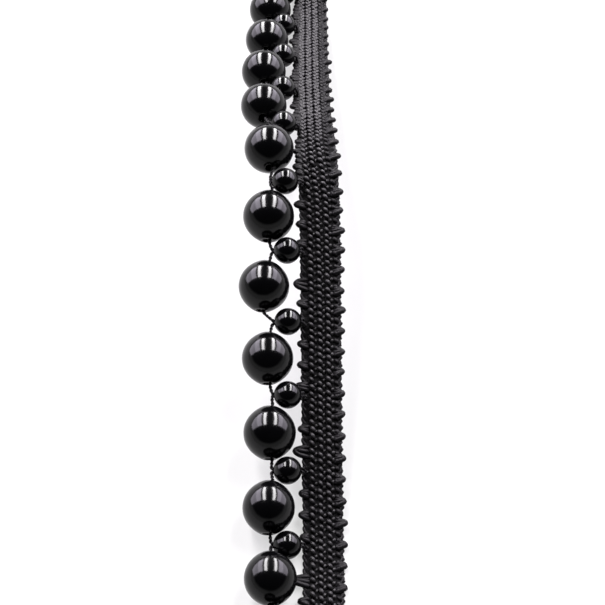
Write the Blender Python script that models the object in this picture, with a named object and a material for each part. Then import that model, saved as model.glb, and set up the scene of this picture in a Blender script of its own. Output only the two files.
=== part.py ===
"""Beaded braid trimming: a cut length of picot-edged gimp braid with a bead edging.

Large round beads alternate with small ones along the left edge of a narrow braid.
One sewing thread runs through every large bead.  Between two large beads it turns in
through the cross hole of a small bead and takes a stitch in the braid's edge.  The
length lies as a low arch: both ends are flat on the surface and the middle rises.

Metres, +Z up.  +Y runs along the trimming from the near end to the far end, and +X
runs across it from the beads to the picot edge.  The origin is the middle of the base.
"""

import math

import bmesh
import bpy
from mathutils import Matrix, Vector

MM = 0.001
GAP = 0.3 * MM

# Braid
PICK = 1.15 * MM
PICK_COUNT = 163
BRAID_WIDTH = 6.0 * MM
BRAID_THICKNESS = 1.3 * MM
BRAID_EDGE_CHAMFER = 0.35 * MM
PICKS_PER_PICOT = 3
RIGHT_PICOT_REACH = 0.9 * MM
LEFT_PICOT_REACH = 0.75 * MM
RIGHT_PICOT_PHASE = 2
LEFT_PICOT_PHASE = 0

# Beads
# The large beads, near end first, as uneven in size as in the photo, in mm
LARGE_BEAD_MM = (8.0, 8.0, 8.0, 8.15, 8.3, 8.25, 8.25, 8.45, 8.3, 8.0, 8.0, 8.0, 8.0, 8.0, 8.0)
LARGE_BORE = 1.5 * MM
SMALL_BEAD = 4.4 * MM
SMALL_BORE = 1.1 * MM
PICKS_PER_BEAD = 10.5
BEAD_PITCH = PICKS_PER_BEAD * PICK
BEAD_START = 3.25 * MM
SMALL_BEAD_LEAD = 0.08 * MM
LARGE_BEAD_OFFSET = -8.2 * MM
SMALL_BEAD_OFFSET = -5.47 * MM
BEAD_LEVEL = 1.7 * MM
LARGE_BEAD_SIDES = 14
LARGE_BEAD_ARCS = 8
SMALL_BEAD_SIDES = 12
SMALL_BEAD_ARCS = 4

# How far each large bead swings to the right of the bead line, near end first, in mm
BEAD_SWING_MM = (0.1, 0.0, 0.25, -0.15, -0.1, -0.5, -1.1, -0.15, 0.2, -0.6, -0.65, -0.3, 0.1, 0.2, 0.0)
LARGE_BEAD_COUNT = len(BEAD_SWING_MM)
SMALL_BEAD_COUNT = LARGE_BEAD_COUNT + 1

# Sewing thread
THREAD = 0.45 * MM
THREAD_SIDES = 6
THREAD_STRAIGHT_OUT = 0.15 * MM
STITCH_WIDTH = 0.4 * MM

# The arch, from the near end: lengths along the braid and the slopes it reaches
BRAID_LENGTH = PICK_COUNT * PICK
NEAR_FLAT = 36.45 * MM
NEAR_BEND = 12.0 * MM
NEAR_RISE = 50.55 * MM
CREST_BEND = 13.0 * MM
FAR_BEND = 12.0 * MM
NEAR_SLOPE = math.radians(16.0)
FAR_SLOPE = math.radians(-19.0)
SIDE_DRIFT = -1.3 * MM
DRIFT_START = 73.0 * MM
DRIFT_LENGTH = 60.0 * MM


def bend_rise(length, start, end):
    """Height gained along an arc whose slope turns evenly from start to end."""
    return length / (end - start) * (math.cos(start) - math.cos(end))


def far_fall_length():
    """The straight far slope that brings the braid back down to the surface."""
    height = bend_rise(NEAR_BEND, 0.0, NEAR_SLOPE)
    height += NEAR_RISE * math.sin(NEAR_SLOPE)
    height += bend_rise(CREST_BEND, NEAR_SLOPE, FAR_SLOPE)
    height += bend_rise(FAR_BEND, FAR_SLOPE, 0.0)
    return height / -math.sin(FAR_SLOPE)


def arch_sections():
    """Sections of the arch as (length, slope at the start, slope at the end)."""
    far_fall = far_fall_length()
    used = NEAR_FLAT + NEAR_BEND + NEAR_RISE + CREST_BEND + far_fall + FAR_BEND
    return (
        (NEAR_FLAT, 0.0, 0.0),
        (NEAR_BEND, 0.0, NEAR_SLOPE),
        (NEAR_RISE, NEAR_SLOPE, NEAR_SLOPE),
        (CREST_BEND, NEAR_SLOPE, FAR_SLOPE),
        (far_fall, FAR_SLOPE, FAR_SLOPE),
        (FAR_BEND, FAR_SLOPE, 0.0),
        (BRAID_LENGTH - used, 0.0, 0.0),
    )


SECTIONS = arch_sections()


def side_drift(station):
    """Sideways place of the braid's middle line, an S-curve beyond the crest."""
    share = min(max((station - DRIFT_START) / DRIFT_LENGTH, 0.0), 1.0)
    return SIDE_DRIFT * share * share * (3.0 - 2.0 * share)


def route(station):
    """Middle of the braid, and its slope, at a length along the braid."""
    y, z = 0.0, BRAID_THICKNESS / 2
    left = station
    slope = 0.0
    for length, start, end in SECTIONS:
        run = min(left, length)
        slope = start + (end - start) * run / length
        if start == end:
            y += run * math.cos(start)
            z += run * math.sin(start)
        else:
            radius = length / (end - start)
            y += radius * (math.sin(slope) - math.sin(start))
            z += radius * (math.cos(start) - math.cos(slope))
        left -= run
        if left <= 0.0:
            break
    return Vector((side_drift(station), y, z)), slope


def place(station, across=0.0, above=0.0):
    """A point beside and above the braid's middle line, square to the braid."""
    middle, slope = route(station)
    up = Vector((0.0, -math.sin(slope), math.cos(slope)))
    return middle + Vector((across, 0.0, 0.0)) + up * above


def bead_level(station, radius):
    """Height of a bead's centre over the braid: level, or as high as the surface pushes it."""
    middle, slope = route(station)
    return max(BEAD_LEVEL, (radius - middle.z) / math.cos(slope))


def large_bead_station(index):
    return BEAD_START + (index + 0.5) * BEAD_PITCH


def small_bead_station(index):
    return BEAD_START + SMALL_BEAD_LEAD + index * BEAD_PITCH


def large_bead_radius(index):
    return LARGE_BEAD_MM[index] * MM / 2


def large_bead_centre(index):
    station = large_bead_station(index)
    across = LARGE_BEAD_OFFSET + BEAD_SWING_MM[index] * MM
    return place(station, across, bead_level(station, large_bead_radius(index)))


def small_bead_centre(index):
    station = small_bead_station(index)
    return place(station, SMALL_BEAD_OFFSET, bead_level(station, SMALL_BEAD / 2))


def make_material(name, colour, roughness):
    material = bpy.data.materials.new(name)
    material.use_nodes = True
    shader = material.node_tree.nodes["Principled BSDF"]
    shader.inputs["Base Color"].default_value = (*colour, 1.0)
    shader.inputs["Roughness"].default_value = roughness
    shader.inputs["Metallic"].default_value = 0.0
    return material


def finish_mesh(bm, name):
    bmesh.ops.recalc_face_normals(bm, faces=bm.faces)
    mesh = bpy.data.meshes.new(name)
    bm.to_mesh(mesh)
    bm.free()
    return mesh


def add_object(name, mesh, material, parent):
    if not mesh.materials:
        mesh.materials.append(material)
    thing = bpy.data.objects.new(name, mesh)
    bpy.context.scene.collection.objects.link(thing)
    thing.parent = parent
    return thing


def skin_rings(bm, rings):
    """Join rings of points into a tube with a flat cap at each end."""
    for near, far in zip(rings, rings[1:]):
        for i in range(len(near)):
            j = (i + 1) % len(near)
            bm.faces.new((near[i], near[j], far[j], far[i]))
    bm.faces.new(list(reversed(rings[0])))
    bm.faces.new(rings[-1])


def near_small_bead(station):
    """True where a small bead takes the place of the left edge's picot."""
    along = (station - BEAD_START) / BEAD_PITCH
    return abs(along - round(along)) * BEAD_PITCH < 1.6 * MM


def edge_reach(pick):
    """How far the picots stand out of the left and the right edge at a pick."""
    inside = 0 < pick < PICK_COUNT
    right = inside and pick % PICKS_PER_PICOT == RIGHT_PICOT_PHASE
    left = inside and pick % PICKS_PER_PICOT == LEFT_PICOT_PHASE
    left = left and not near_small_bead(pick * PICK)
    return LEFT_PICOT_REACH * left, RIGHT_PICOT_REACH * right


def braid_section(pick):
    """Cross-section of the braid at a pick, as (across, above) pairs."""
    left_reach, right_reach = edge_reach(pick)
    left = -BRAID_WIDTH / 2 - left_reach
    right = BRAID_WIDTH / 2 + right_reach
    top = BRAID_THICKNESS / 2
    cut = BRAID_EDGE_CHAMFER
    return (
        (left + cut, -top),
        (right - cut, -top),
        (right, cut - top),
        (right, top - cut),
        (right - cut, top),
        (left + cut, top),
        (left, top - cut),
        (left, cut - top),
    )


def build_braid():
    """The woven braid, its picots part of its outline."""
    bm = bmesh.new()
    rings = []
    for pick in range(PICK_COUNT + 1):
        station = pick * PICK
        rings.append([bm.verts.new(place(station, u, h)) for u, h in braid_section(pick)])
    skin_rings(bm, rings)
    return finish_mesh(bm, "braid")


def build_bead(name, diameter, bore, sides, arcs):
    """A drilled round bead, turned around its bore, which runs along Y."""
    radius = diameter / 2
    lip = math.asin(bore / diameter)
    bm = bmesh.new()
    profile = []
    for i in range(arcs + 1):
        angle = lip + (math.pi - 2 * lip) * i / arcs
        point = (0.0, radius * math.cos(angle), radius * math.sin(angle))
        profile.append(bm.verts.new(point))
    for i in range(len(profile)):
        bm.edges.new((profile[i - 1], profile[i]))
    bmesh.ops.spin(
        bm,
        geom=bm.verts[:] + bm.edges[:],
        axis=(0.0, 1.0, 0.0),
        cent=(0.0, 0.0, 0.0),
        angle=2 * math.pi,
        steps=sides,
        use_merge=True,
    )
    mesh = finish_mesh(bm, name)
    mesh.shade_smooth()
    mesh.set_sharp_from_angle(angle=math.radians(50.0))
    return mesh


def direction(station):
    """The way the braid runs at a length along it."""
    slope = route(station)[1]
    return Vector((0.0, math.cos(slope), math.sin(slope)))


def stitch_turn(index):
    """Where the thread turns in beside a small bead, as (station, across, above)."""
    station = small_bead_station(index)
    across = SMALL_BEAD_OFFSET - SMALL_BEAD / 2 - GAP - THREAD / 2
    return station, across, bead_level(station, SMALL_BEAD / 2)


def thread_stops():
    """The thread's middle line as (point, way it runs), two stops at each bead in turn."""
    half_stitch = STITCH_WIDTH / 2
    stops = []
    for index in range(SMALL_BEAD_COUNT):
        station, across, above = stitch_turn(index)
        along = direction(station)
        stops.append((place(station - half_stitch, across, above), along))
        stops.append((place(station + half_stitch, across, above), along))
        if index < LARGE_BEAD_COUNT:
            centre = large_bead_centre(index)
            along = direction(large_bead_station(index))
            half_bead = large_bead_radius(index) + THREAD_STRAIGHT_OUT
            stops.append((centre - along * half_bead, along))
            stops.append((centre + along * half_bead, along))
    return stops


def thread_ring(bm, point, along):
    """A ring of the thread, square to its run, with one flat side towards the braid."""
    across = Vector((1.0, 0.0, 0.0))
    up = across.cross(along)
    ring = []
    for i in range(THREAD_SIDES):
        angle = 2 * math.pi * (i - 0.5) / THREAD_SIDES
        spoke = across * math.cos(angle) + up * math.sin(angle)
        ring.append(bm.verts.new(point + spoke * THREAD / 2))
    return ring


def build_thread():
    """The sewing thread: a run through the large beads with a stitch at each small one."""
    bm = bmesh.new()
    rings = [thread_ring(bm, point, along) for point, along in thread_stops()]
    skin_rings(bm, rings)
    bm.faces.ensure_lookup_table()
    stops_per_stitch = 4
    sides = [bm.faces[i * THREAD_SIDES] for i in range(0, len(rings), stops_per_stitch)]
    for index, side in enumerate(sides):
        outer = bmesh.ops.extrude_discrete_faces(bm, faces=[side])["faces"][0]
        braid_edge = place(small_bead_station(index), -BRAID_WIDTH / 2 - GAP)
        for vert in outer.verts:
            vert.co.x = braid_edge.x
    return finish_mesh(bm, "thread")


def seat_bead(thing, station, centre, bore_turn):
    """Seat a bead on the thread, its bore turned that far from the braid's run."""
    slope = Matrix.Rotation(route(station)[1], 4, "X")
    thing.matrix_local = Matrix.Translation(centre) @ slope @ Matrix.Rotation(bore_turn, 4, "Z")


def centre_on_base(root, things):
    """Move the whole trimming so that the origin is the middle of its base."""
    bpy.context.view_layer.update()
    corners = [thing.matrix_world @ v.co for thing in things for v in thing.data.vertices]
    low = [min(c[axis] for c in corners) for axis in range(3)]
    high = [max(c[axis] for c in corners) for axis in range(3)]
    root.location = (-(low[0] + high[0]) / 2, -(low[1] + high[1]) / 2, -low[2])
    bpy.context.view_layer.update()


def build_trimming():
    for thing in list(bpy.data.objects):
        bpy.data.objects.remove(thing, do_unlink=True)

    root = bpy.data.objects.new("trimming", None)
    bpy.context.scene.collection.objects.link(root)
    yarn = make_material("braid_yarn", (0.012, 0.012, 0.014), 0.55)
    gloss = make_material("bead_gloss", (0.004, 0.004, 0.005), 0.06)
    cord = make_material("sewing_thread", (0.01, 0.01, 0.011), 0.5)

    things = [add_object("braid", build_braid(), yarn, root)]
    things.append(add_object("sewing_thread", build_thread(), cord, root))

    for index in range(LARGE_BEAD_COUNT):
        name = f"large_bead_{index + 1:02d}"
        size = 2 * large_bead_radius(index)
        large = build_bead(name, size, LARGE_BORE, LARGE_BEAD_SIDES, LARGE_BEAD_ARCS)
        bead = add_object(name, large, gloss, root)
        seat_bead(bead, large_bead_station(index), large_bead_centre(index), 0.0)
        things.append(bead)

    small = build_bead("small_bead", SMALL_BEAD, SMALL_BORE, SMALL_BEAD_SIDES, SMALL_BEAD_ARCS)
    for index in range(SMALL_BEAD_COUNT):
        bead = add_object(f"small_bead_{index + 1:02d}", small, gloss, root)
        seat_bead(bead, small_bead_station(index), small_bead_centre(index), math.pi / 2)
        things.append(bead)

    centre_on_base(root, things)


build_trimming()
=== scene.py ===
"""Looks of the beaded braid trimming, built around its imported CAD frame.

The braid is worked like the real one: chain-stitch wales over a weft, looped at both
edges, with every third loop drawn out into a picot.  Glossy beads hang on one twisted
sewing thread that is stitched into the braid's left edge through each small bead.

The braid is laid out flat in millimetres as (across, along, above) and then follows
the same arch as the CAD solid.
"""

import math

import bpy
import numpy as np
from mathutils import Matrix, Vector


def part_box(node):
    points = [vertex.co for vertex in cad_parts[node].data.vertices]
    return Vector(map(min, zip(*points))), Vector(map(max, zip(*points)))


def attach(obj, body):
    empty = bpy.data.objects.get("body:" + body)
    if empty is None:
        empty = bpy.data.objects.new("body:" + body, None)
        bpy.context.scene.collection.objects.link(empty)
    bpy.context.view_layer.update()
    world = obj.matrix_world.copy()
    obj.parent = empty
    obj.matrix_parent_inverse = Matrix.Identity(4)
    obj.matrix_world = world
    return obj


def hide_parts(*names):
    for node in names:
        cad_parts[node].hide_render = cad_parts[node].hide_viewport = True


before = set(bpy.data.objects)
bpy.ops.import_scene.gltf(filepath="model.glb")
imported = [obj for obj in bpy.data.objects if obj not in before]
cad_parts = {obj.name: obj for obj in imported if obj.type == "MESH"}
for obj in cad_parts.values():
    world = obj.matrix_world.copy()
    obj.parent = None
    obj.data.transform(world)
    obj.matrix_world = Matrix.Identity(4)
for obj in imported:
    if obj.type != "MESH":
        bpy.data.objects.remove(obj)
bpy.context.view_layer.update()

MM = 0.001

# The braid, as in the CAD part
PICK = 1.15
PICK_COUNT = 163
BRAID_LENGTH = PICK * PICK_COUNT
BRAID_WIDTH = 6.0
BRAID_THICKNESS = 1.3
PICKS_PER_PICOT = 3
RIGHT_PICOT_REACH = 0.9
RIGHT_PICOT_PHASE = 2
LEFT_PICOT_PHASE = 0

# The beads, as in the CAD part
LARGE_BEADS = (8.0, 8.0, 8.0, 8.15, 8.3, 8.25, 8.25, 8.45, 8.3, 8.0, 8.0, 8.0, 8.0, 8.0, 8.0)
LARGE_BORE = 1.5
SMALL_BEAD = 4.4
SMALL_BORE = 1.1
BEAD_PITCH = 10.5 * PICK
BEAD_START = 3.25
SMALL_BEAD_LEAD = 0.08
LARGE_BEAD_COUNT = 15
SMALL_BEAD_COUNT = LARGE_BEAD_COUNT + 1

# The arch, as in the CAD part
NEAR_FLAT = 36.45
NEAR_BEND = 12.0
NEAR_RISE = 50.55
CREST_BEND = 13.0
FAR_BEND = 12.0
NEAR_SLOPE = math.radians(16.0)
FAR_SLOPE = math.radians(-19.0)
SIDE_DRIFT = -1.3
DRIFT_START = 73.0
DRIFT_LENGTH = 60.0
ROUTE_STEPS = 4000


def bend_rise(length, start, end):
    return length / (end - start) * (math.cos(start) - math.cos(end))


def arch():
    """Stations, slopes and places along the middle of the braid."""
    climb = bend_rise(NEAR_BEND, 0.0, NEAR_SLOPE) + NEAR_RISE * math.sin(NEAR_SLOPE)
    climb += bend_rise(CREST_BEND, NEAR_SLOPE, FAR_SLOPE) + bend_rise(FAR_BEND, FAR_SLOPE, 0.0)
    far_fall = climb / -math.sin(FAR_SLOPE)
    lengths = (NEAR_FLAT, NEAR_BEND, NEAR_RISE, CREST_BEND, far_fall, FAR_BEND)
    knots = np.cumsum((0.0,) + lengths)
    slopes = (0.0, 0.0, NEAR_SLOPE, NEAR_SLOPE, FAR_SLOPE, FAR_SLOPE, 0.0)
    station = np.linspace(0.0, BRAID_LENGTH, ROUTE_STEPS + 1)
    middle = (station[1:] + station[:-1]) / 2
    step = BRAID_LENGTH / ROUTE_STEPS
    slope_between = np.interp(middle, knots, slopes)
    y = np.concatenate(((0.0,), np.cumsum(np.cos(slope_between)) * step))
    z = np.concatenate(((0.0,), np.cumsum(np.sin(slope_between)) * step))
    return station, np.interp(station, knots, slopes), y, z + BRAID_THICKNESS / 2


STATION, SLOPE, ROUTE_Y, ROUTE_Z = arch()
braid_low, braid_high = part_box("braid")
BRAID_START = braid_low.y / MM
BRAID_MIDDLE = braid_high.x / MM - RIGHT_PICOT_REACH - BRAID_WIDTH / 2

# How far the edges of the cloth spread past the CAD braid's, by station along it
SPREAD_STATIONS = (0.0, 41.0, 59.0, 79.0, 103.0, 120.0)
SPREAD_LEFT = (0.15, 0.15, 0.40, 0.60, 0.28, 0.0)
SPREAD_RIGHT = (0.30, 0.30, 0.16, 0.24, 0.70, 0.0)


def share_past(values, start, length):
    """0 up to start, 1 from a length past it, and evenly in between."""
    return np.clip((values - start) / length, 0.0, 1.0)


def eased(amount, share):
    """An amount that comes in smoothly as its share goes from 0 to 1."""
    return amount * share * share * (3.0 - 2.0 * share)


def slope_at(along):
    return np.interp(along, STATION, SLOPE)


def lay(points):
    """Places in the part's frame, in mm, of (across, along, above) points on the braid."""
    points = np.asarray(points, float)
    across, along, above = points[..., 0], points[..., 1], points[..., 2]
    on = np.clip(along, 0.0, BRAID_LENGTH)
    past = along - on
    slope = slope_at(on)
    left = -np.interp(on, SPREAD_STATIONS, SPREAD_LEFT)
    right = np.interp(on, SPREAD_STATIONS, SPREAD_RIGHT)
    outer = np.minimum(np.abs(across) / (BRAID_WIDTH / 2), 1.0) ** 2
    across = across + outer * np.where(across < 0.0, left, right)
    drift = eased(SIDE_DRIFT, share_past(on, DRIFT_START, DRIFT_LENGTH))
    x = BRAID_MIDDLE + drift + across
    y = BRAID_START + np.interp(on, STATION, ROUTE_Y)
    z = np.interp(on, STATION, ROUTE_Z)
    y = y + past * np.cos(slope) - above * np.sin(slope)
    z = z + past * np.sin(slope) + above * np.cos(slope)
    return np.stack((x, y, z), -1)


# ---------------------------------------------------------------- mesh building

# A path that starts steeper than this takes its first direction from X instead of Z
STEEP_START = 0.8
# How far apart a mesh's strands are on the fibre pattern, so that no two look the same
STRAND_SHIFT = 7.3


def smooth_path(points, steps):
    """Catmull-Rom points through paths of control points, shape (paths, points, 3)."""
    points = np.asarray(points, float)
    first = 2 * points[:, :1] - points[:, 1:2]
    last = 2 * points[:, -1:] - points[:, -2:-1]
    padded = np.concatenate((first, points, last), axis=1)
    a, b, c, d = padded[:, :-3], padded[:, 1:-2], padded[:, 2:-1], padded[:, 3:]
    t = (np.arange(steps) / steps)[None, None, :, None]
    a, b, c, d = (part[:, :, None, :] for part in (a, b, c, d))
    curve = 0.5 * (
        2 * b
        + (c - a) * t
        + (2 * a - 5 * b + 4 * c - d) * t**2
        + (3 * b - a - 3 * c + d) * t**3
    )
    curve = curve.reshape(points.shape[0], -1, points.shape[2])
    return np.concatenate((curve, points[:, -1:]), axis=1)


def unit(vectors):
    return vectors / np.linalg.norm(vectors, axis=-1, keepdims=True)


def path_frames(paths):
    """Two directions square to each path, carried along it without twisting."""
    along = unit(np.gradient(paths, axis=1))
    steep = np.abs(along[:, 0, 2:]) >= STEEP_START
    current = np.where(steep, (1.0, 0.0, 0.0), (0.0, 0.0, 1.0))
    side = np.empty_like(along)
    for i in range(paths.shape[1]):
        tangent = along[:, i]
        current = unit(current - (current * tangent).sum(-1, keepdims=True) * tangent)
        side[:, i] = current
    return side, np.cross(along, side)


def path_length(paths):
    steps = np.linalg.norm(np.diff(paths, axis=1), axis=-1)
    return np.concatenate((np.zeros((paths.shape[0], 1)), np.cumsum(steps, axis=1)), axis=1)


def new_mesh(name, verts, faces):
    """A smooth-shaded mesh from places in mm."""
    mesh = bpy.data.meshes.new(name)
    mesh.from_pydata((np.asarray(verts) * MM).tolist(), [], faces)
    mesh.polygons.foreach_set("use_smooth", [True] * len(mesh.polygons))
    mesh.update()
    return mesh


def tubes(name, paths, radius, sides, first_strand=0.0):
    """One mesh of closed tubes along paths, each vertex told where it is on its strand."""
    paths = np.asarray(paths, float)
    count, stops = paths.shape[:2]
    side, other = path_frames(paths)
    radius = np.broadcast_to(np.asarray(radius, float), (count, stops))
    angle = 2 * math.pi * np.arange(sides) / sides
    spoke = (
        side[:, :, None, :] * np.cos(angle)[None, None, :, None]
        + other[:, :, None, :] * np.sin(angle)[None, None, :, None]
    )
    verts = paths[:, :, None, :] + spoke * radius[:, :, None, None]
    length = path_length(paths)
    index = np.arange(count * stops * sides).reshape(count, stops, sides)
    after = np.roll(index, -1, axis=2)
    quads = np.stack((index[:, :-1], after[:, :-1], after[:, 1:], index[:, 1:]), -1)
    faces = quads.reshape(-1, 4).tolist()
    faces += index[:, 0, ::-1].tolist() + index[:, -1].tolist()
    mesh = new_mesh(name, verts.reshape(-1, 3), faces)
    where = np.empty((count, stops, sides, 3), np.float32)
    where[..., 0] = np.cos(angle)
    where[..., 1] = np.sin(angle)
    strand = np.arange(count)[:, None, None]
    where[..., 2] = length[:, :, None] + strand * STRAND_SHIFT + first_strand
    attribute = mesh.attributes.new("strand", "FLOAT_VECTOR", "POINT")
    attribute.data.foreach_set("vector", where.reshape(-1))
    return mesh


def plied(paths, ply_offset, lay_length, plies=2):
    """Paths of the plies that twist around each path."""
    side, other = path_frames(paths)
    turn = 2 * math.pi * path_length(paths) / lay_length
    strands = []
    for ply in range(plies):
        angle = (turn + 2 * math.pi * ply / plies)[..., None]
        strands.append(paths + ply_offset * (side * np.cos(angle) + other * np.sin(angle)))
    return np.concatenate(strands)


def new_object(name, data):
    thing = bpy.data.objects.new(name, data)
    bpy.context.scene.collection.objects.link(thing)
    return thing


def add_piece(name, mesh, material, slot, *nodes):
    """A piece of the trimming, riding on its one body."""
    mesh.materials.append(material)
    piece = new_object(name, mesh)
    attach(piece, "root")
    if nodes:
        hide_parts(*nodes)
    return piece


# ---------------------------------------------------------------- materials


class Nodes:
    """A short way to wire a material's nodes."""

    def __init__(self, name):
        self.material = bpy.data.materials.new(name)
        self.material.use_nodes = True
        self.tree = self.material.node_tree
        self.shader = self.tree.nodes["Principled BSDF"]

    def new(self, kind):
        return self.tree.nodes.new(kind)

    def link(self, source, target):
        self.tree.links.new(source, target)

    def math(self, operation, a, b=None):
        node = self.new("ShaderNodeMath")
        node.operation = operation
        for slot, value in enumerate((a, b)):
            if isinstance(value, (int, float)):
                node.inputs[slot].default_value = value
            elif value is not None:
                self.link(value, node.inputs[slot])
        return node.outputs[0]

    def noise(self, scale, detail=3.0, roughness=0.5, vector=None):
        node = self.new("ShaderNodeTexNoise")
        node.inputs["Scale"].default_value = scale
        node.inputs["Detail"].default_value = detail
        node.inputs["Roughness"].default_value = roughness
        self.link(vector or self.object_place(), node.inputs["Vector"])
        return node.outputs[0]

    def object_place(self):
        return self.new("ShaderNodeTexCoord").outputs["Object"]

    def spread(self, value, low, high, lowest=0.0):
        """value, from lowest to 1, stretched to run from low to high."""
        node = self.new("ShaderNodeMapRange")
        node.inputs["From Min"].default_value = lowest
        node.inputs["To Min"].default_value = low
        node.inputs["To Max"].default_value = high
        self.link(value, node.inputs["Value"])
        return node.outputs["Result"]

    def mix_colour(self, share, first, second):
        node = self.new("ShaderNodeMix")
        node.data_type = "RGBA"
        self.link(share, node.inputs["Factor"])
        node.inputs["A"].default_value = (*first, 1.0)
        node.inputs["B"].default_value = (*second, 1.0)
        return node.outputs["Result"]

    def bump(self, height, distance):
        node = self.new("ShaderNodeBump")
        node.inputs["Distance"].default_value = distance
        self.link(height, node.inputs["Height"])
        return node.outputs["Normal"]

    def colour(self, share, first, second):
        """The surface's colour, from first to second."""
        self.link(self.mix_colour(share, first, second), self.shader.inputs["Base Color"])

    def roughness(self, share, low, high):
        self.link(self.spread(share, low, high), self.shader.inputs["Roughness"])

    def relief(self, height, depth):
        """Bumps as deep as depth, in mm."""
        self.link(self.bump(height, depth * MM), self.shader.inputs["Normal"])

    def set(self, **values):
        for key, value in values.items():
            self.shader.inputs[key.replace("_", " ")].default_value = value


# How far the fibres wander around a strand, in radians, and how much fuzz is on them
FIBRE_WANDER = 5.0
FIBRE_FUZZ = 0.6
YARN_GLOSS_CHANGE = 0.06
YARN_SHEEN = (1.0, 0.96, 1.0, 1.0)


def yarn_material(name, dark, light, roughness, ior, fibre_depth, turns, lay_length):
    """Spun filament yarn: fibres wound around each strand, with small gloss changes."""
    nodes = Nodes(name)
    where = nodes.new("ShaderNodeAttribute")
    where.attribute_name = "strand"
    split = nodes.new("ShaderNodeSeparateXYZ")
    nodes.link(where.outputs["Vector"], split.inputs[0])
    around = nodes.math("ARCTAN2", split.outputs["Y"], split.outputs["X"])
    run = nodes.math("MULTIPLY", split.outputs["Z"], 2 * math.pi / lay_length)
    phase = nodes.math("ADD", nodes.math("MULTIPLY", around, turns), run)
    wander = nodes.noise(scale=900.0, detail=2.0)
    phase = nodes.math("ADD", phase, nodes.math("MULTIPLY", wander, FIBRE_WANDER))
    fibre = nodes.spread(nodes.math("SINE", phase), 0.0, 1.0, lowest=-1.0)
    fuzz = nodes.noise(scale=6000.0, detail=3.0, roughness=0.6)
    height = nodes.math("ADD", fibre, nodes.math("MULTIPLY", fuzz, FIBRE_FUZZ))
    nodes.colour(nodes.noise(scale=260.0, detail=3.0, roughness=0.6), dark, light)
    gloss = nodes.noise(scale=700.0, detail=2.0)
    nodes.roughness(gloss, roughness - YARN_GLOSS_CHANGE, roughness + YARN_GLOSS_CHANGE)
    nodes.relief(height, fibre_depth)
    nodes.set(IOR=ior, Specular_Tint=YARN_SHEEN)
    return nodes.material


def bead_material():
    """Black moulded plastic with a high polish, faint handling haze and moulding ripple."""
    nodes = Nodes("bead_gloss")
    haze = nodes.noise(scale=500.0, detail=4.0, roughness=0.6)
    nodes.colour(haze, (0.0003, 0.0003, 0.0004), (0.0006, 0.0006, 0.0007))
    nodes.roughness(haze, 0.11, 0.16)
    nodes.relief(nodes.noise(scale=380.0, detail=2.0), depth=0.04)
    nodes.set(IOR=1.28)
    return nodes.material


def ground_material():
    """Weft yarn packed side by side, its fibres running across the braid."""
    nodes = Nodes("braid_ground")
    patch = nodes.noise(scale=500.0, detail=3.0, roughness=0.6)
    nodes.colour(patch, (0.0020, 0.0019, 0.0021), (0.0034, 0.0032, 0.0035))
    stretch = nodes.new("ShaderNodeMapping")
    stretch.inputs["Scale"].default_value = (300.0, 5000.0, 5000.0)
    nodes.link(nodes.object_place(), stretch.inputs["Vector"])
    fibre = nodes.noise(scale=1.0, detail=3.0, roughness=0.6, vector=stretch.outputs[0])
    nodes.relief(fibre, depth=0.03)
    nodes.set(Roughness=0.6, IOR=1.08)
    return nodes.material


braid_yarn = yarn_material(
    "braid_yarn",
    dark=(0.0018, 0.0017, 0.0018),
    light=(0.0036, 0.0034, 0.0037),
    roughness=0.50,
    ior=1.31,
    fibre_depth=0.004,
    turns=12,
    lay_length=2.4,
)
# The edge yarn is the braid's one black yarn given a darker colour and a weaker reflection:
# painted shade for the looped edges and the outer right wale
shaded_edge_yarn = yarn_material(
    "shaded_edge_yarn",
    dark=(0.0014, 0.0013, 0.0015),
    light=(0.0024, 0.0022, 0.0025),
    roughness=0.46,
    ior=1.18,
    fibre_depth=0.005,
    turns=14,
    lay_length=2.6,
)
thread_yarn = yarn_material(
    "sewing_thread",
    dark=(0.0008, 0.0008, 0.0009),
    light=(0.0020, 0.0020, 0.0022),
    roughness=0.42,
    ior=1.22,
    fibre_depth=0.004,
    turns=8,
    lay_length=0.9,
)
bead_gloss = bead_material()
braid_ground = ground_material()

# ---------------------------------------------------------------- the woven ground

GROUND_HALF_WIDTH = 2.85
GROUND_TOP = -0.16
GROUND_BOTTOM = -0.5
GROUND_COLUMNS = 14
GROUND_ROWS_PER_PICK = 6
# How high the ribs stand, above and under, and how far the cloth thins at its sides
TOP_RIB = 0.12
BOTTOM_RIB = 0.1
TOP_SIDE_DROP = 0.12
BOTTOM_SIDE_LIFT = 0.2
SIDE_SHARPNESS = 6
# A row this near a cut end drops below the top, by this much
CUT_END = 0.05
CUT_END_DROP = 0.1


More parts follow.
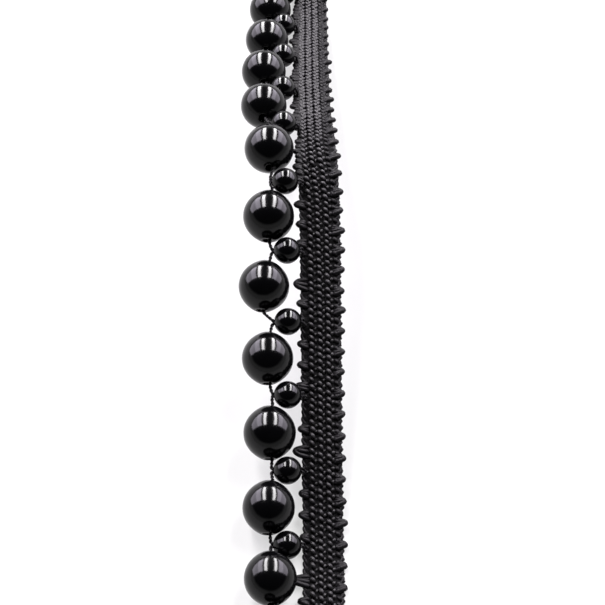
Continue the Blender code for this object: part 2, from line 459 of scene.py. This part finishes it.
def build_ground():
    """The weft of the braid as one closed thin cloth with a rib at each pick."""
    rows = PICK_COUNT * GROUND_ROWS_PER_PICK + 1
    along = np.linspace(0.0, BRAID_LENGTH, rows)
    across = np.linspace(-GROUND_HALF_WIDTH, GROUND_HALF_WIDTH, GROUND_COLUMNS + 1)
    u, v = np.meshgrid(across, along)
    rib = 0.5 - 0.5 * np.cos(2 * math.pi * (v / PICK))
    edge = (np.abs(u) / GROUND_HALF_WIDTH) ** SIDE_SHARPNESS
    top = GROUND_TOP + TOP_RIB * rib - TOP_SIDE_DROP * edge
    bottom = GROUND_BOTTOM - BOTTOM_RIB * (1 - rib) + BOTTOM_SIDE_LIFT * edge
    ends = np.minimum(v, BRAID_LENGTH - v) < CUT_END
    top = np.where(ends, GROUND_TOP - CUT_END_DROP, top)
    verts = np.concatenate([lay(np.stack((u, v, w), -1)).reshape(-1, 3) for w in (top, bottom)])
    upper = np.arange(u.size).reshape(u.shape)
    lower = upper + u.size

    def quads(a, b, c, d):
        return np.stack((a, b, c, d), -1).reshape(-1, 4).tolist()

    faces = quads(upper[:-1, :-1], upper[:-1, 1:], upper[1:, 1:], upper[1:, :-1])
    faces += quads(lower[:-1, :-1], lower[1:, :-1], lower[1:, 1:], lower[:-1, 1:])
    faces += quads(upper[:-1, 0], upper[1:, 0], lower[1:, 0], lower[:-1, 0])
    faces += quads(upper[:-1, -1], lower[:-1, -1], lower[1:, -1], upper[1:, -1])
    faces += quads(upper[0, :-1], lower[0, :-1], lower[0, 1:], upper[0, 1:])
    faces += quads(upper[-1, :-1], upper[-1, 1:], lower[-1, 1:], lower[-1, :-1])
    return new_mesh("braid_cloth", verts, faces)


# ---------------------------------------------------------------- chain-stitch wales

# Name, middle across the braid, phase in picks, height, and how far its right beads sink
WALES = (
    ("left", -1.25, 0.00, 0.0, 0.16),
    ("inner_left", 0.00, 0.45, 0.0, 0.0),
    ("inner_right", 1.32, 0.15, 0.0, 0.0),
    ("right", 2.52, 0.60, -0.34, 0.20),
)
WALE_YARN = 0.31
WALE_SIDES = 8
WALE_STEPS = 2
# From each pick to the start of its stitch, and from the cut ends to the nearest yarn
STITCH_OFFSET = 0.75
WALE_END = 0.2
# How much a stitch varies in size, as shares of it or in mm, and in place, in mm
VARY_WIDTH = 0.07
VARY_LENGTH = 0.08
VARY_HEIGHT = 0.05
VARY_GIRTH = 0.06
VARY_ACROSS = 0.035
VARY_ALONG = 0.045
VARY_POINT = 0.012
# Moves each wale's fibres on from the last one's
WALE_STRAND = 3.0
# Over the crest the wales wander to the left
WANDER = -0.70
WANDER_START = 96.0
WANDER_LENGTH = 13.0
# Past the crest the yarn lies up against itself, so each wale reads as one smooth rib
SATIN_START = 104.0
SATIN_LENGTH = 13.0
SATIN_SHARE = 0.9
SATIN_LEVEL = 0.18
SATIN_GIRTH = 0.9
# Where the yarn turns back under the cloth, so that nothing sinks below the braid
WALE_LOWEST = -0.46
# One stitch as (across, along, above, share of the yarn's full girth) from its own pick:
# a full left bead of yarn, a dive under the cloth, a lower right one, and a dive back
CHAIN_STITCH = (
    (-0.06, -0.02, -0.34, 0.62),
    (-0.10, 0.04, 0.14, 0.96),
    (-0.28, 0.28, 0.33, 1.10),
    (-0.45, 0.52, 0.14, 0.94),
    (-0.42, 0.58, -0.34, 0.62),
    (-0.08, 0.66, -0.46, 0.60),
    (0.18, 0.58, -0.36, 0.62),
    (0.20, 0.74, -0.10, 0.84),
    (0.28, 0.90, 0.02, 0.94),
    (0.38, 1.00, -0.14, 0.84),
    (0.40, 1.08, -0.40, 0.62),
    (0.18, 1.12, -0.46, 0.60),
)

rng = np.random.default_rng(41)


def build_wale(name, middle, phase, height, sink):
    """One wale: a single yarn worked into a chain, with its stitches a little uneven."""
    stitch = np.array(CHAIN_STITCH)
    picks = np.arange(-1, PICK_COUNT - 1)
    points = np.repeat(stitch[None], len(picks), axis=0)
    each = (len(picks), 1)
    points[:, :, 0] *= 1.0 + rng.normal(0.0, VARY_WIDTH, each)
    points[:, :, 1] *= 1.0 + rng.normal(0.0, VARY_LENGTH, each)
    points[:, :, 2] += (points[:, :, 2] > 0.0) * rng.normal(0.0, VARY_HEIGHT, each)
    points[:, :, 3] *= 1.0 + rng.normal(0.0, VARY_GIRTH, each)
    points[:, :, 0] += middle + rng.normal(0.0, VARY_ACROSS, each)
    start = (picks[:, None] + phase) * PICK + STITCH_OFFSET
    points[:, :, 1] += start + rng.normal(0.0, VARY_ALONG, each)
    points[:, :, 2] += height - sink * (stitch[:, 0] > 0.0)
    points[:, :, 0] += eased(WANDER, share_past(points[:, :, 1], WANDER_START, WANDER_LENGTH))
    satin = share_past(points[:, :, 1], SATIN_START, SATIN_LENGTH)
    points[:, :, 2] += SATIN_SHARE * satin * (height + SATIN_LEVEL - points[:, :, 2])
    points[:, :, 3] += SATIN_SHARE * satin * (SATIN_GIRTH - points[:, :, 3])
    points[:, :, 2] = np.maximum(points[:, :, 2], WALE_LOWEST)
    points[..., :3] += rng.normal(0.0, VARY_POINT, points[..., :3].shape)
    points[..., 1] = np.clip(points[..., 1], WALE_END, BRAID_LENGTH - WALE_END)
    girth = points[..., 3].reshape(1, -1, 1)
    path = smooth_path(lay(points[..., :3].reshape(1, -1, 3)), WALE_STEPS)
    radius = smooth_path(girth, WALE_STEPS)[..., 0] * WALE_YARN
    return tubes(name, path, radius, WALE_SIDES, middle * WALE_STRAND)


# ---------------------------------------------------------------- looped edges

LOOP_SIDES = 8
LOOP_STEPS = 3
# Half of one edge loop, from under the outer wale, as (away from the middle, along, above)
SHORT_LOOP = (
    (1.50, -0.80, -0.56),
    (2.00, -0.66, -0.42),
    (2.40, -0.42, -0.36),
    (2.66, -0.06, -0.34),
    (2.76, 0.34, -0.36),
    (2.64, 0.66, -0.38),
    (2.10, 0.78, -0.42),
    (1.60, 0.74, -0.50),
)
PICOT_LOOP = (
    (1.50, -0.72, -0.45),
    (2.05, -0.60, -0.20),
    (2.55, -0.42, -0.02),
    (2.92, -0.26, 0.02),
    (3.14, -0.06, -0.02),
    (3.00, 0.16, -0.10),
    (2.68, 0.28, -0.14),
    (2.35, 0.36, -0.20),
    (2.00, 0.42, -0.30),
    (1.60, 0.46, -0.45),
)
# A second turn of yarn that fills the middle of each picot
PICOT_CORE = (
    (1.50, -0.20, -0.50),
    (2.00, -0.16, -0.28),
    (2.50, -0.08, -0.06),
    (2.86, -0.04, -0.02),
    (3.00, 0.02, -0.10),
    (2.70, 0.12, -0.30),
    (2.20, 0.18, -0.42),
    (1.60, 0.20, -0.52),
)
SHORT_LOOP_YARN = 0.27
PICOT_YARN = 0.44
# A loop thins towards the middle of the braid, where it goes under the outer wale
TAPER_START = 1.5
TAPER_LENGTH = 0.6
TAPER_LEAST = 0.45
# How much the reach of each kind of loop varies, past this distance from the middle
VARY_SHORT_LOOP = 0.05
VARY_PICOT = 0.12
VARY_REACH_FROM = 2.4
# How much a loop's station and each of its points vary, in mm
VARY_LOOP_ALONG = 0.06
VARY_LOOP_POINT = 0.02
# The least distance from a loop to a cut end
LOOP_END = 0.25
# A pull lengthens a picot from PULL_START outwards, fully from PULL_LENGTH past it
PULL_START = 2.0
PULL_LENGTH = 1.2
# Moves the fibres of each kind of loop on from the last one's
LOOP_STRAND = 3.1
# Left picots stay clear of a small bead's middle by this distance along the braid
SMALL_BEAD_CLEARANCE = 1.6
# Left picots pulled out towards the beads, as pick: (how far in mm, how much wider)
PULLED_PICOTS = {
    30: (1.2, 1.6),
    48: (0.95, 1.6),
    57: (0.2, 1.1),
    66: (0.35, 1.1),
    72: (0.75, 1.7),
    84: (0.3, 1.1),
    90: (0.35, 1.2),
    93: (0.28, 1.2),
    99: (0.7, 1.2),
    102: (0.8, 1.2),
    105: (0.6, 1.2),
}
# Picks of the left edge, over the crest and past it, where every loop is as long as a picot
LONG_LEFT_LOOPS = (88, 89, 91, 92, 94, 95, *range(100, 160))
# Past this pick the left loops hang out towards the beads, and the picots among them furthest
FRINGE_FROM = 105
FRINGE_LOOP = (0.25, 1.0)
FRINGE_PICOT = (0.9, 1.5)
UNPULLED = (0.0, 1.0)
# Right loops past this pick keep only a share of their reach past FLAT_PICOT_START
FLAT_PICOTS_FROM = 119
FLAT_PICOT_START = 2.6
FLAT_PICOT_SHARE = 0.35


def near_small_bead(along):
    place = (along - BEAD_START) / BEAD_PITCH
    return abs(place - round(place)) * BEAD_PITCH < SMALL_BEAD_CLEARANCE


def left_pull(pick):
    """How far the left picot at a pick is pulled out, and how much wider it is."""
    if pick in PULLED_PICOTS:
        return PULLED_PICOTS[pick]
    if pick <= FRINGE_FROM or near_small_bead(pick * PICK):
        return UNPULLED
    return FRINGE_PICOT if pick % PICKS_PER_PICOT == LEFT_PICOT_PHASE else FRINGE_LOOP


def edge_loops(template, picks, side, vary_reach):
    """Copies of a loop at picks, on the left (-1) or the right (+1) edge."""
    loops = np.repeat(np.array(template)[None], len(picks), axis=0)
    at = np.array(picks)[:, None]
    reach = 1.0 + rng.normal(0.0, vary_reach, at.shape)
    outer = np.clip(loops[:, :, 0] - VARY_REACH_FROM, 0.0, None)
    loops[:, :, 0] += outer * (reach - 1.0)
    if side < 0 and template is not SHORT_LOOP:
        pull, wider = np.array([left_pull(pick) for pick in picks]).T[..., None]
        loops[:, :, 0] += pull * share_past(loops[:, :, 0], PULL_START, PULL_LENGTH)
        loops[:, :, 1] *= wider
    if side > 0:
        flat = (at > FLAT_PICOTS_FROM) & (loops[:, :, 0] > FLAT_PICOT_START)
        loops[:, :, 0] -= (1.0 - FLAT_PICOT_SHARE) * flat * (loops[:, :, 0] - FLAT_PICOT_START)
    loops[:, :, 0] *= side
    loops[:, :, 1] += at * PICK + rng.normal(0.0, VARY_LOOP_ALONG, at.shape)
    loops += rng.normal(0.0, VARY_LOOP_POINT, loops.shape)
    loops[..., 1] = np.clip(loops[..., 1], LOOP_END, BRAID_LENGTH - LOOP_END)
    return lay(loops)


def build_edge(name, side, phase):
    """The weft loops of one edge: a low one at each pick and a two-turn picot at every third."""
    picks = range(1, PICK_COUNT)
    picots = [p for p in picks if p % PICKS_PER_PICOT == phase]
    if side < 0:
        picots = [p for p in picots if not near_small_bead(p * PICK)]
        picots = sorted(set(picots) | set(LONG_LEFT_LOOPS))
    parts = []
    for template, where, vary_reach, yarn in (
        (SHORT_LOOP, picks, VARY_SHORT_LOOP, SHORT_LOOP_YARN),
        (PICOT_LOOP, picots, VARY_PICOT, PICOT_YARN),
        (PICOT_CORE, picots, 0.0, PICOT_YARN),
    ):
        path = smooth_path(edge_loops(template, where, side, vary_reach), LOOP_STEPS)
        girth = share_past(np.array(template)[:, 0], TAPER_START, TAPER_LENGTH)
        girth = np.maximum(girth, TAPER_LEAST)
        radius = smooth_path(girth.reshape(1, -1, 1), LOOP_STEPS)[..., 0] * yarn
        parts.append(tubes(name, path, radius, LOOP_SIDES, len(parts) * LOOP_STRAND))
    return join_meshes(name, parts)


def join_meshes(name, meshes):
    """One mesh out of several."""
    objects = [new_object(name, mesh) for mesh in meshes]
    with bpy.context.temp_override(
        active_object=objects[0], selected_editable_objects=objects, selected_objects=objects
    ):
        bpy.ops.object.join()
    mesh = objects[0].data
    bpy.data.objects.remove(objects[0])
    return mesh


# ---------------------------------------------------------------- beads

# How far from the bore a bead's own round begins, and how wide its shoulder is, in radians
LIP_WIDTH = 0.14
SHOULDER_WIDTH = 0.5
# The rounded lip in between, as (out from the bore, in from the rim), and how far the
# straight bore reaches, as a share of the way to the rim
LIP_ROUND = ((0.02, 0.10), (0.08, 0.01))
BORE_SHARE = 0.9


def bead_mesh(name, radius, bore, shoulder, flat, segments, rings):
    """A polished bead turned around its bore, which runs along Y, flat around each hole."""
    angle = np.linspace(math.asin((bore / 2 + LIP_WIDTH) / radius), math.pi / 2, rings)
    away = radius * np.sin(angle)
    swell = shoulder * np.exp(-((angle / SHOULDER_WIDTH) ** 2))
    along = np.minimum(radius * np.cos(angle) * (1.0 + swell), radius + flat)
    inner = bore / 2
    rim = along[0]
    lip_out, lip_in = np.array(LIP_ROUND).T
    r = np.concatenate(((inner, inner), inner + lip_out, away))
    y = np.concatenate(((0.0, rim * BORE_SHARE), rim - lip_in, along))
    r = np.concatenate((r, r[-2:0:-1]))
    y = np.concatenate((y, -y[-2:0:-1]))
    turn = 2 * math.pi * np.arange(segments) / segments
    verts = np.stack(
        (
            r[:, None] * np.sin(turn),
            np.repeat(y[:, None], segments, axis=1),
            r[:, None] * np.cos(turn),
        ),
        -1,
    )
    index = np.arange(len(r) * segments).reshape(len(r), segments)
    after = np.roll(index, -1, axis=1)
    next_ring = np.roll(index, -1, axis=0)
    next_after = np.roll(after, -1, axis=0)
    faces = np.stack((index, next_ring, next_after, after), -1).reshape(-1, 4).tolist()
    return new_mesh(name, verts.reshape(-1, 3), faces)


def node_centre(node):
    low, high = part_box(node)
    return np.array((low + high) / 2) / MM


SMALL_RADIUS = SMALL_BEAD / 2
large_stations = [BEAD_START + (i + 0.5) * BEAD_PITCH for i in range(LARGE_BEAD_COUNT)]
small_stations = [BEAD_START + SMALL_BEAD_LEAD + i * BEAD_PITCH for i in range(SMALL_BEAD_COUNT)]
# How much the beads lean, and the widest turn about their bores, in radians
LARGE_LEAN = math.radians(3.5)
SMALL_LEAN = math.radians(3.0)
BEAD_ROLL = 6.28
bead_rng = np.random.default_rng(12)


def add_bead(kind, index, mesh, lean, roll):
    """One bead on its CAD node's place; returns its centre and the way its bore runs."""
    node = f"{kind}_bead_{index + 1:02d}"
    station = (large_stations if kind == "large" else small_stations)[index]
    centre = node_centre(node)
    slope = Matrix.Rotation(float(slope_at(station)), 4, "X")
    turn = Matrix.Rotation(lean, 4, "Z")
    spin = Matrix.Rotation(roll, 4, "Y")
    piece = new_object(f"bead_{kind}_{index + 1:02d}", mesh)
    piece.matrix_world = Matrix.Translation(Vector(centre) * MM) @ slope @ turn @ spin
    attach(piece, "root")
    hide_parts(node)
    axis = (slope @ turn).to_3x3() @ Vector((0.0, 1.0, 0.0))
    return centre, np.array(axis)


def build_beads():
    """All the beads, the small ones sharing a mesh; returns where each kind's beads sit."""
    small_form = {"shoulder": 0.03, "flat": -0.06, "segments": 40, "rings": 16}
    large_form = {"shoulder": 0.06, "flat": 0.03, "segments": 64, "rings": 26}
    small = bead_mesh("bead_small", SMALL_RADIUS, SMALL_BORE, **small_form)
    small.materials.append(bead_gloss)
    seats = {"large": [], "small": []}
    for index in range(LARGE_BEAD_COUNT):
        lean = bead_rng.normal(0.0, LARGE_LEAN)
        roll = bead_rng.uniform(0.0, BEAD_ROLL)
        name = f"bead_large_{index + 1:02d}"
        large = bead_mesh(name, LARGE_BEADS[index] / 2, LARGE_BORE, **large_form)
        large.materials.append(bead_gloss)
        seats["large"].append(add_bead("large", index, large, lean, roll))
    for index in range(SMALL_BEAD_COUNT):
        lean = math.pi / 2 + bead_rng.normal(0.0, SMALL_LEAN)
        roll = bead_rng.uniform(0.0, BEAD_ROLL)
        seats["small"].append(add_bead("small", index, small, lean, roll))
    return seats


# ---------------------------------------------------------------- sewing thread

# Radius of each of the two plies, and how close together they are twisted
PLY = 0.16
PLY_PACKING = 0.92
PLY_SIDES = 6
THREAD_LAY = 1.2
THREAD_STEPS = 8
# Half the distance between the way in and the way out: in a small bead, at its mouth and
# at the braid
PASS_OFFSET = 0.25
MOUTH_OFFSET = 0.30
EDGE_OFFSET = 0.35
# Points on the way through a small bead: past its mouth, from there to the turn and into
# the bore, and past its inner end
MOUTH_CLEARANCE = 0.12
MOUTH_TURN = 0.12
MOUTH_INSIDE = 0.5
INNER_CLEARANCE = 0.10
# Where the thread goes into the braid and where its stitch turns, as (across, above)
STITCH_IN = (-2.75, 0.15)
STITCH_TURN = (-2.2, -0.2)
# Points through a large bead, as shares of its radius from its middle
LARGE_PASS = (-1.06, -0.85, 0.0, 0.85, 1.06)
# The thread lies against the side of each large bead's bore that faces the braid
BORE_SIDE = 0.42


def thread_points(seats):
    """The thread's way: through each large bead, in through each small one and back."""
    points = []
    for index in range(SMALL_BEAD_COUNT):
        centre, axis = seats["small"][index]
        axis = axis * -np.sign(axis[0])
        station = small_stations[index]
        slope = float(slope_at(station))
        run = np.array((0.0, math.cos(slope), math.sin(slope)))
        mouth = centre + axis * (SMALL_RADIUS + MOUTH_CLEARANCE)
        inner = centre - axis * (SMALL_RADIUS + INNER_CLEARANCE)
        edge = lay((STITCH_IN[0], station, STITCH_IN[1]))
        passing = (mouth - axis * MOUTH_INSIDE, centre, inner)
        coming = [mouth + axis * MOUTH_TURN - run * MOUTH_OFFSET]
        coming += [point - run * PASS_OFFSET for point in passing]
        leaving = [coming[0] + 2 * (run * MOUTH_OFFSET)]
        leaving += [point + 2 * run * PASS_OFFSET for point in coming[1:]]
        if index > 0:
            points += [*coming, edge - run * EDGE_OFFSET]
        points.append(lay((STITCH_TURN[0], station, STITCH_TURN[1])))
        if index < LARGE_BEAD_COUNT:
            points += [edge + run * EDGE_OFFSET, *leaving[::-1]]
            bead, bore = seats["large"][index]
            to_side = np.array((BORE_SIDE, 0.0, 0.0))
            for share in LARGE_PASS:
                points.append(bead + bore * share * LARGE_BEADS[index] / 2 + to_side)
    return np.array(points)


def build_thread(seats):
    path = smooth_path(thread_points(seats)[None], THREAD_STEPS)
    strands = plied(path, PLY * PLY_PACKING, THREAD_LAY)
    return tubes("edging_thread", strands, PLY, PLY_SIDES)


# ---------------------------------------------------------------- the whole trimming

thread = build_thread(build_beads())
add_piece("edging_thread", thread, thread_yarn, "sewing_thread", "sewing_thread")

cloth = add_piece("braid_cloth", build_ground(), braid_ground, "braid_yarn", "braid")
for name, middle, phase, height, sink in WALES:
    mesh = build_wale(f"wale_{name}", middle, phase, height, sink)
    # The outer right wale takes the edge yarn's darker colour as painted shade
    yarn = shaded_edge_yarn if name == "right" else braid_yarn
    add_piece(f"wale_{name}", mesh, yarn, "braid_yarn")
for name, side, phase in (("left", -1, LEFT_PICOT_PHASE), ("right", 1, RIGHT_PICOT_PHASE)):
    mesh = build_edge(f"edge_loops_{name}", side, phase)
    add_piece(f"edge_loops_{name}", mesh, shaded_edge_yarn, "braid_yarn")

# ---------------------------------------------------------------- floor, light, camera

# Half the floor's side, in metres, and its level, just below the CAD part
FLOOR_SIZE = 3.0
FLOOR_LEVEL = -0.05 * MM
# A self-lit floor matches the photo's white background and leaves the lamps for the beads
FLOOR_GLOW = 0.56


def build_floor():
    mesh = bpy.data.meshes.new("floor")
    sides = ((-1, -1), (1, -1), (1, 1), (-1, 1))
    corners = [(x * FLOOR_SIZE, y * FLOOR_SIZE, FLOOR_LEVEL) for x, y in sides]
    mesh.from_pydata(corners, [], [(0, 1, 2, 3)])
    nodes = Nodes("floor")
    nodes.colour(nodes.noise(scale=3.0, detail=2.0), (0.130, 0.130, 0.129), (0.134, 0.134, 0.133))
    nodes.set(Roughness=0.9, Emission_Color=(1.0, 1.0, 0.995, 1.0), Emission_Strength=FLOOR_GLOW)
    nodes.set(Specular_IOR_Level=0.0)
    mesh.materials.append(nodes.material)
    floor = new_object("floor", mesh)


build_floor()

# The lights run from near and high to far and low, as (along, up) in metres; their sizes
# and places are then scaled
LIGHT_NEAR = (0.14, 0.94)
LIGHT_FAR = (1.50, 0.36)
LIGHT_SCALE = 0.8
STRIP_POWER = 150.0
INNER_PANEL_POWER = 46.0
OUTER_PANEL_POWER = 26.0
WHITE = (1.0, 0.98, 1.0)
LAVENDER = (0.93, 0.87, 1.0)
# Name, left side, right side, power for each square metre, and colour
LIGHTS = (
    ("strip_left", -0.40, -0.20, STRIP_POWER, WHITE),
    ("strip_right", 0.29, 0.49, STRIP_POWER, WHITE),
    ("inner_panel_left", -1.10, -0.56, INNER_PANEL_POWER, LAVENDER),
    ("inner_panel_right", 0.66, 1.20, INNER_PANEL_POWER, LAVENDER),
    ("outer_panel_left", -3.4, -1.10, OUTER_PANEL_POWER, LAVENDER),
    ("outer_panel_right", 1.20, 3.4, OUTER_PANEL_POWER, LAVENDER),
)


def add_light(name, left, right, power, colour):
    """A long light from overhead to far and low, between two sideways places."""
    near = Vector((0.0, *LIGHT_NEAR))
    far = Vector((0.0, *LIGHT_FAR))
    centre = (near + far) / 2
    centre.x = (left + right) / 2
    run = (far - near).normalized()
    across = Vector((1.0, 0.0, 0.0))
    back = across.cross(run)
    light = bpy.data.lights.new(name, "AREA")
    light.shape = "RECTANGLE"
    light.size = (right - left) * LIGHT_SCALE
    light.size_y = (far - near).length * LIGHT_SCALE
    light.energy = power * light.size * light.size_y
    light.color = colour
    turn = Matrix((across, run, back)).transposed().to_4x4()
    new_object(name, light).matrix_world = Matrix.Translation(centre * LIGHT_SCALE) @ turn


for light in LIGHTS:
    add_light(*light)

# The sky is pale up to a low height and dark from a little above it, as (height, colour)
SKY_LOW = (0.2, (0.8, 0.8, 0.8, 1.0))
SKY_HIGH = (0.36, (0.03, 0.03, 0.034, 1.0))


def build_world():
    world = bpy.data.worlds.new("studio")
    bpy.context.scene.world = world
    world.use_nodes = True
    tree = world.node_tree
    coord = tree.nodes.new("ShaderNodeTexCoord")
    split = tree.nodes.new("ShaderNodeSeparateXYZ")
    ramp = tree.nodes.new("ShaderNodeValToRGB")
    for element, sky in zip(ramp.color_ramp.elements, (SKY_LOW, SKY_HIGH)):
        element.position, element.color = sky
    tree.links.new(coord.outputs["Generated"], split.inputs[0])
    tree.links.new(split.outputs["Z"], ramp.inputs[0])
    tree.links.new(ramp.outputs[0], tree.nodes["Background"].inputs["Color"])


build_world()

# The photo's view: place in mm from the braid's near end, and degrees below level
CAMERA_ACROSS = -3.13
CAMERA_ALONG = -44.47
CAMERA_HEIGHT = 202.92
CAMERA_DOWN = 57.446

camera = bpy.data.cameras.new("camera")
camera.sensor_width = 36.0
camera.lens = 83.19
camera.clip_start = 0.01
viewer = new_object("camera", camera)
place = Vector((BRAID_MIDDLE + CAMERA_ACROSS, BRAID_START + CAMERA_ALONG, CAMERA_HEIGHT))
viewer.location = place * MM
viewer.rotation_euler = (math.radians(90.0 - CAMERA_DOWN), 0.0, 0.0)
bpy.context.scene.camera = viewer
bpy.context.scene.view_settings.view_transform = "Standard"
